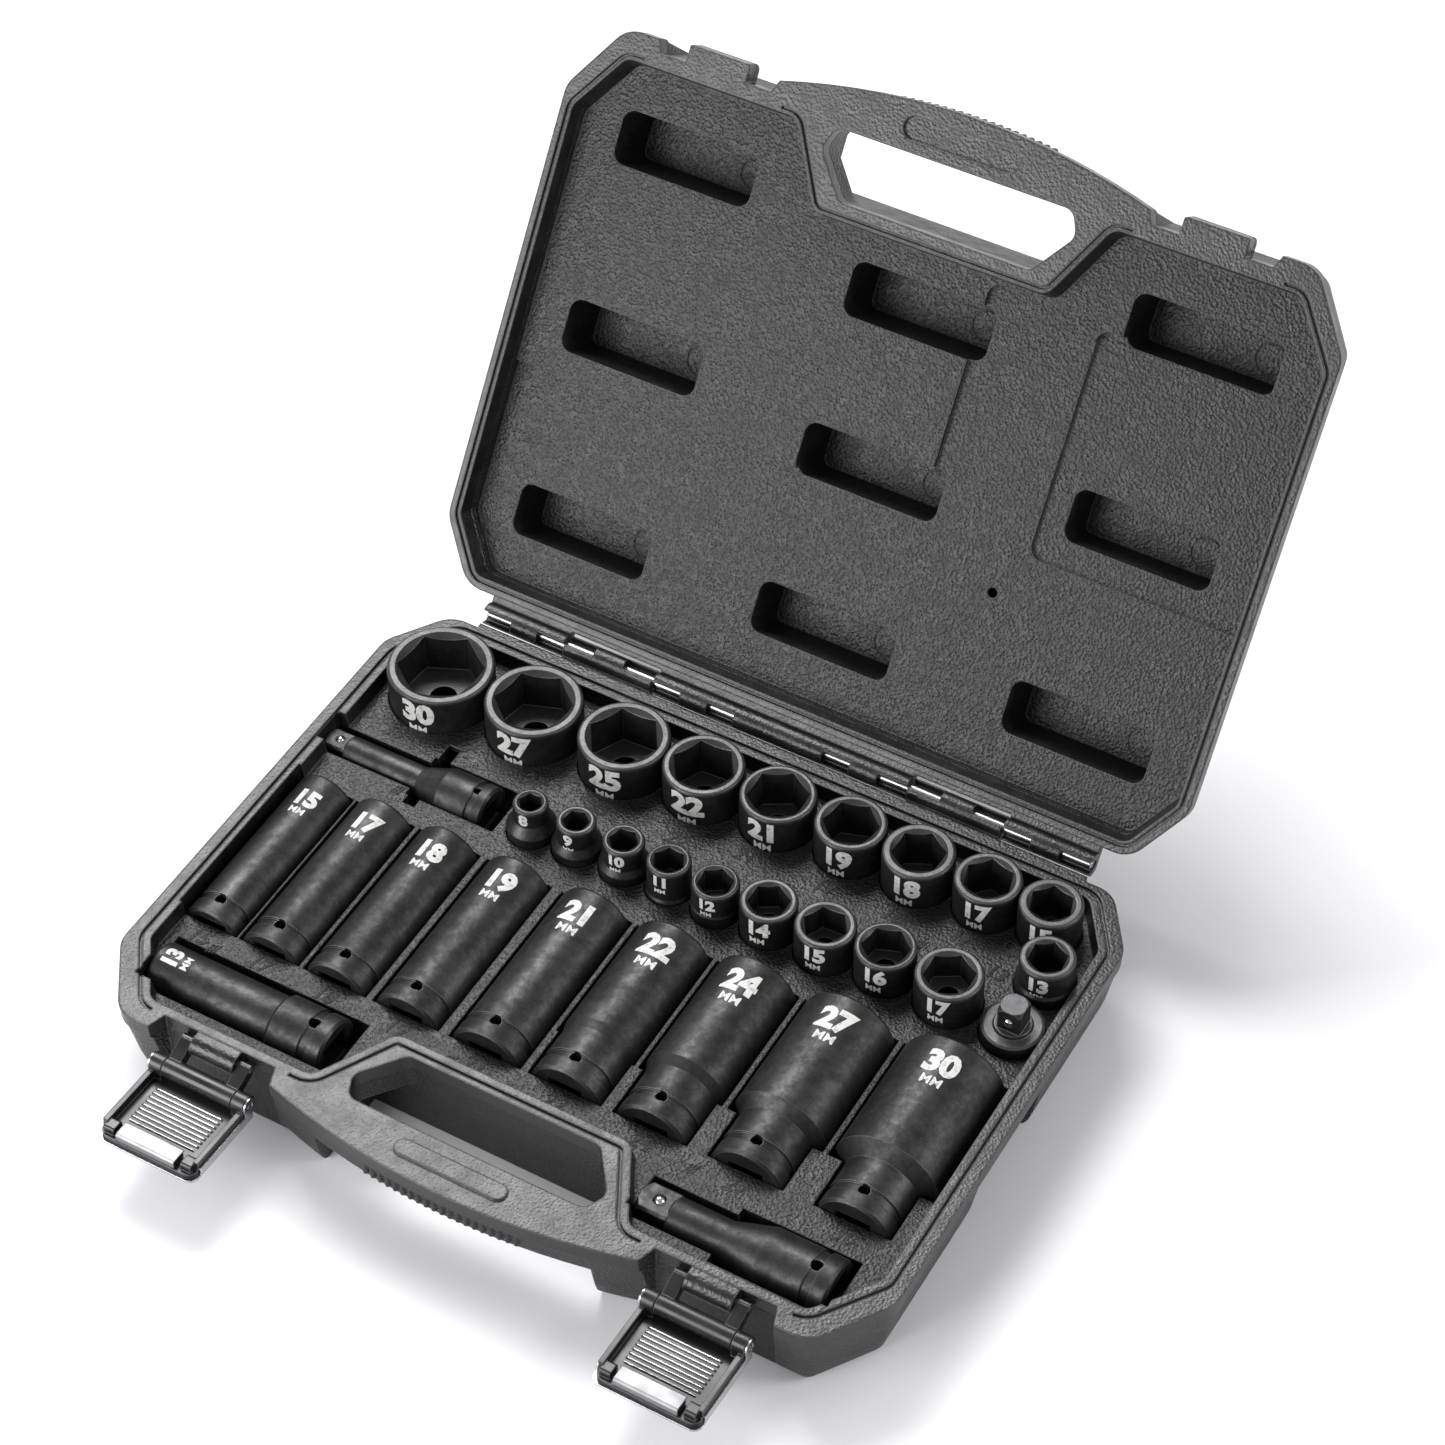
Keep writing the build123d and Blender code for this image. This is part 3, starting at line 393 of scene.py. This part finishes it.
def put_mark(name, body, bm, matrix):
    """Makes a mark's object, inked, and lets it ride on its tool."""
    mesh = bpy.data.meshes.new(name)
    bm.transform(matrix)
    bm.to_mesh(mesh)
    bm.free()
    mesh.materials.append(INK_MATERIAL)
    thing = bpy.data.objects.new(name, mesh)
    bpy.context.scene.collection.objects.link(thing)
    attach(thing, body)


def wrapped_mark(size, radius, height, unit):
    """Size mark bent round a socket of this radius that lies along Y."""
    bm = size_mark(size, height, unit)
    wrap(bm, radius + MARK_LIFT)
    return bm


def mark_upright(node, size, radius, height, unit, below_top):
    """Size mark on the side of a standing socket."""
    low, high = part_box(node)
    centre = (low + high) / 2
    bm = wrapped_mark(size, radius, height, unit)
    stand = Matrix.Rotation(math.radians(90), 4, "X")
    turn = Matrix.Rotation(SIDE_MARK_AZ + math.radians(90), 4, "Z")
    place = Matrix.Translation((centre.x, centre.y, high.z - below_top))
    put_mark("mark_" + node, node, bm, place @ turn @ stand)


def mark_lying(node, size, radius, height, unit, along):
    """Size mark on top of a deep socket in the row, its digits' tops towards the mouth."""
    low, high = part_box(node)
    centre = (low + high) / 2
    bm = wrapped_mark(size, radius, height, unit)
    place = Matrix.Translation((centre.x, high.y - along, centre.z))
    put_mark("mark_" + node, node, bm, place)


def mark_along(node, size, radius, height, unit, along):
    """Size mark on top of the socket that lies along X, its digits' tops towards the mouth."""
    low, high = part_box(node)
    centre = (low + high) / 2
    bm = wrapped_mark(size, radius, height, unit)
    turn = Matrix.Rotation(math.radians(90), 4, "Z")
    place = Matrix.Translation((low.x + along, centre.y, centre.z))
    put_mark("mark_" + node, node, bm, place @ turn)


for node in sorted(NODES):
    if not node.startswith("socket_"):
        continue
    family, size = node.split("_")[1], int(node.split("_")[2])
    low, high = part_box(node)
    if family == "half":
        radius = HALF_13_RADIUS if size == 13 else (high.x - low.x) / 2
        tall = min(10.0 * MM, radius * 0.62)
        mark_upright(node, size, radius, tall, tall * 0.38, tall * 0.78 + 2.0 * MM)
    elif family == "three":
        radius = THREE_HEAD_RADIUS.get(size, 0) * MM
        radius = radius or (high.x - low.x) / 2
        tall = 5.2 * MM if size < 13 else 7.0 * MM
        mark_upright(node, size, radius, tall, tall * 0.42, tall * 0.80 + 1.6 * MM)
    elif size == 13:
        mark_along(node, size, ALONG_RADIUS, ALONG_DIGITS, ALONG_UNIT, ALONG_MARK_IN)
    else:
        radius = (high.x - low.x) / 2
        tall = min(9.5 * MM, radius * 0.62)
        mark_lying(node, size, radius, tall, tall * 0.42, DEEP_MARK_IN)


def tray_text(name, words, x, y, height, turn=0.0):
    """Raised outline number on the tray, drawn as a fine round line half sunk in it."""
    curve = bpy.data.curves.new(name, "FONT")
    curve.body = words
    curve.align_x = "CENTER"
    curve.align_y = "CENTER"
    curve.size = height / CAPITAL
    curve.shear = TRAY_SHEAR
    curve.fill_mode = "NONE"
    curve.bevel_depth = TRAY_LINE
    curve.bevel_resolution = 1
    curve.resolution_u = 4
    curve.materials.append(CASE)
    thing = bpy.data.objects.new(name, curve)
    bpy.context.scene.collection.objects.link(thing)
    thing.location = (x, y, TRAY)
    thing.rotation_euler.z = turn
    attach(thing, "case_base")


for size, (x, y) in BACK_NUMBERS.items():
    tray_text(f"tray_number_{size}", str(size), x * MM, y * MM, BACK_DIGITS)
for node in sorted(NODES):
    if node.startswith("socket_deep") and not node.endswith("_13"):
        low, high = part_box(node)
        size = node.split("_")[2]
        middle = (low.x + high.x) / 2
        tray_text("tray_number_deep_" + size, size, middle, low.y - DEEP_NUMBER_GAP, DEEP_DIGITS)
for i, (x, y) in enumerate(HATCHES):
    tray_text(f"tray_hatch_{i}", "///", x * MM, y * MM, HATCH_TALL, HATCH_TURN)


# ---------------------------------------------------------------- latch trim
def sheet(name, outline, half_w, material, body):
    """A folded strip: an outline of (y, z) points in the flap's own frame, extruded along X."""
    bm = bmesh.new()
    rings = [[bm.verts.new((x, y, z)) for y, z in outline] for x in (-half_w, half_w)]
    count = len(outline)
    for i in range(count):
        j = (i + 1) % count
        bm.faces.new((rings[0][i], rings[0][j], rings[1][j], rings[1][i]))
    bm.faces.new(reversed(rings[0]))
    bm.faces.new(rings[1])
    bmesh.ops.recalc_face_normals(bm, faces=bm.faces[:])
    mesh = bpy.data.meshes.new(name)
    bm.to_mesh(mesh)
    bm.free()
    mesh.materials.append(material)
    thing = bpy.data.objects.new(name, mesh)
    bpy.context.scene.collection.objects.link(thing)
    joint = next(j for j in frame["joints"] if j["child"] == body)
    turn = Matrix.Rotation(FLAP_TILT, 4, "X")
    thing.matrix_world = Matrix.Translation(Vector(joint["pos_m"])) @ turn
    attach(thing, body)


def hem_outline():
    """The cover's edge folded up round the flap's tip and back inwards."""
    inner, low, under, top = (FLAP_FLOOR + rise for rise in HEM_RISE)
    outside = [(-0.1, FLAP_FLOOR), (-0.1, low), (0.7, top), (6.4, top), (7.0, low)]
    inside = [(6.9, inner), (6.3, under), (0.9, under), (0.3, inner), (0.3, FLAP_FLOOR)]
    return [(FLAP_TIP + y * MM, z) for y, z in outside + inside]


def rib_outline(row):
    """A low rounded bar across the flap's floor."""
    y = (RIB_FIRST - RIB_PITCH * row) * MM
    foot = FLAP_FLOOR + RIB_FOOT
    top = FLAP_FLOOR + RIB_TOP
    shoulder = top - 0.1 * MM
    return [(y, foot), (y + 0.18 * MM, shoulder), (y + 0.3 * MM, top),
            (y + 0.42 * MM, shoulder), (y + 0.6 * MM, foot)]


for side in ("left", "right"):
    flap = side + "_flap"
    sheet(f"hem_{side}", hem_outline(), HEM_HALF_W, HEM, flap)
    for row in range(RIB_ROWS):
        sheet(f"rib_{side}_{row}", rib_outline(row), RIB_HALF_W, BALL, flap)


# ---------------------------------------------------------------- floor, light and camera
def add_floor():
    """A large plain sheet just under the case's feet."""
    mesh = bpy.data.meshes.new("floor")
    half = FLOOR_HALF
    corners = [(-half, -half, 0), (half, -half, 0), (half, half, 0), (-half, half, 0)]
    mesh.from_pydata(corners, [], [(0, 1, 2, 3)])
    floor = bpy.data.objects.new("floor", mesh)
    floor.location.z = BASE_LOW.z - FLOOR_GAP
    bpy.context.scene.collection.objects.link(floor)
    g = Graph("floor_paper")
    tone = g.noise(3.0, 2.0)
    floor.data.materials.append(g.finish(g.blend(tone, grey(0.86), grey(0.88)), 0.9, specular=0.1))


def add_light(name, at, aim, size, power):
    """A soft box that lights the scene but is not seen itself."""
    data = bpy.data.lights.new(name, "AREA")
    data.shape = "RECTANGLE"
    data.size, data.size_y = size
    data.energy = power
    lamp = bpy.data.objects.new(name, data)
    bpy.context.scene.collection.objects.link(lamp)
    lamp.location = at
    lamp.visible_camera = False
    lamp.rotation_euler = (Vector(aim) - Vector(at)).to_track_quat("-Z", "Y").to_euler()


def add_camera():
    data = bpy.data.cameras.new("camera")
    data.lens = LENS_MM
    data.sensor_width = SENSOR_MM
    data.clip_start = 0.01
    data.clip_end = 50
    camera = bpy.data.objects.new("camera", data)
    bpy.context.scene.collection.objects.link(camera)
    view = (CAMERA_AIM - CAMERA_AT).to_track_quat("-Z", "Y").to_matrix().to_4x4()
    roll = Matrix.Rotation(CAMERA_ROLL, 4, "Z")
    camera.matrix_world = Matrix.Translation(CAMERA_AT) @ view @ roll
    bpy.context.scene.camera = camera


def add_world():
    world = bpy.data.worlds.new("studio")
    bpy.context.scene.world = world
    world.use_nodes = True
    background = world.node_tree.nodes["Background"]
    background.inputs["Color"].default_value = (1.0, 1.0, 1.0, 1.0)
    background.inputs["Strength"].default_value = WORLD_STRENGTH


add_floor()
add_world()
for light in LIGHTS:
    add_light(*light)
add_camera()
bpy.context.scene.view_settings.view_transform = "Standard"
